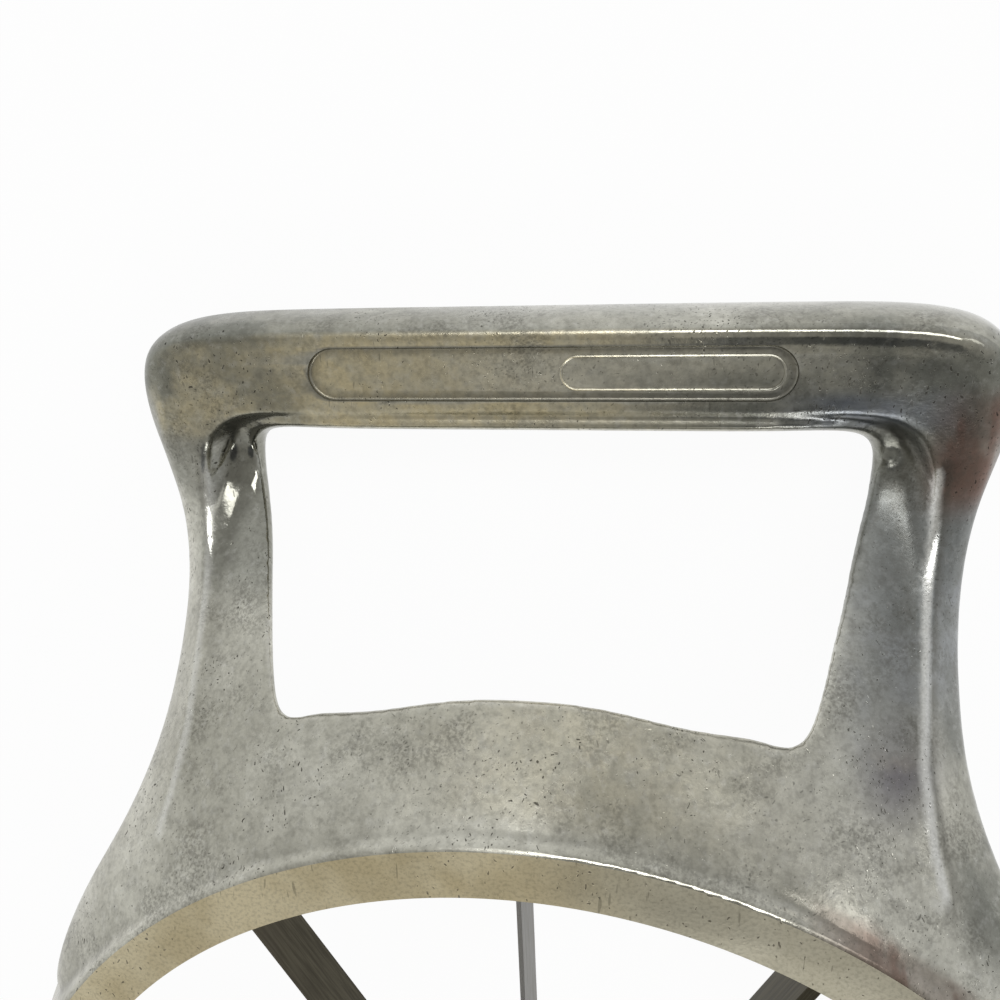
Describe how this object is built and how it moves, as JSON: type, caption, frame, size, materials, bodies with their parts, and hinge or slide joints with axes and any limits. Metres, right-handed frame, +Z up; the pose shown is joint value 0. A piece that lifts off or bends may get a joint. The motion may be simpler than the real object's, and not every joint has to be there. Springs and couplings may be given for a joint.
{
  "type": "apple slicer wedger press",
  "caption": "Two-handled cast aluminium apple slicer: a ring carries radial steel blades round a corer tube and is pressed down by its raised grips.",
  "frame": {"origin": "on the surface the press lies on, under the centre of its box, which is on the axis of the ring", "axes": "+Z up with the cutting side upwards, as pictured; +Y along the length, from one grip to the other; +X across"},
  "size_m": [0.1182, 0.186, 0.036],
  "materials": {
    "cast_aluminium": "tumbled and worn, satin",
    "corer_steel": "brushed",
    "blade_steel": "brushed, darkened"
  },
  "bodies": {
    "root": {"cast_frame": "cast_aluminium", "corer_tube": "corer_steel", "blade_01": "blade_steel", "blade_02": "blade_steel", "blade_03": "blade_steel", "blade_04": "blade_steel", "blade_05": "blade_steel", "blade_06": "blade_steel", "blade_07": "blade_steel", "blade_08": "blade_steel", "blade_09": "blade_steel", "blade_10": "blade_steel", "blade_11": "blade_steel", "blade_12": "blade_steel"}
  },
  "joints": []
}
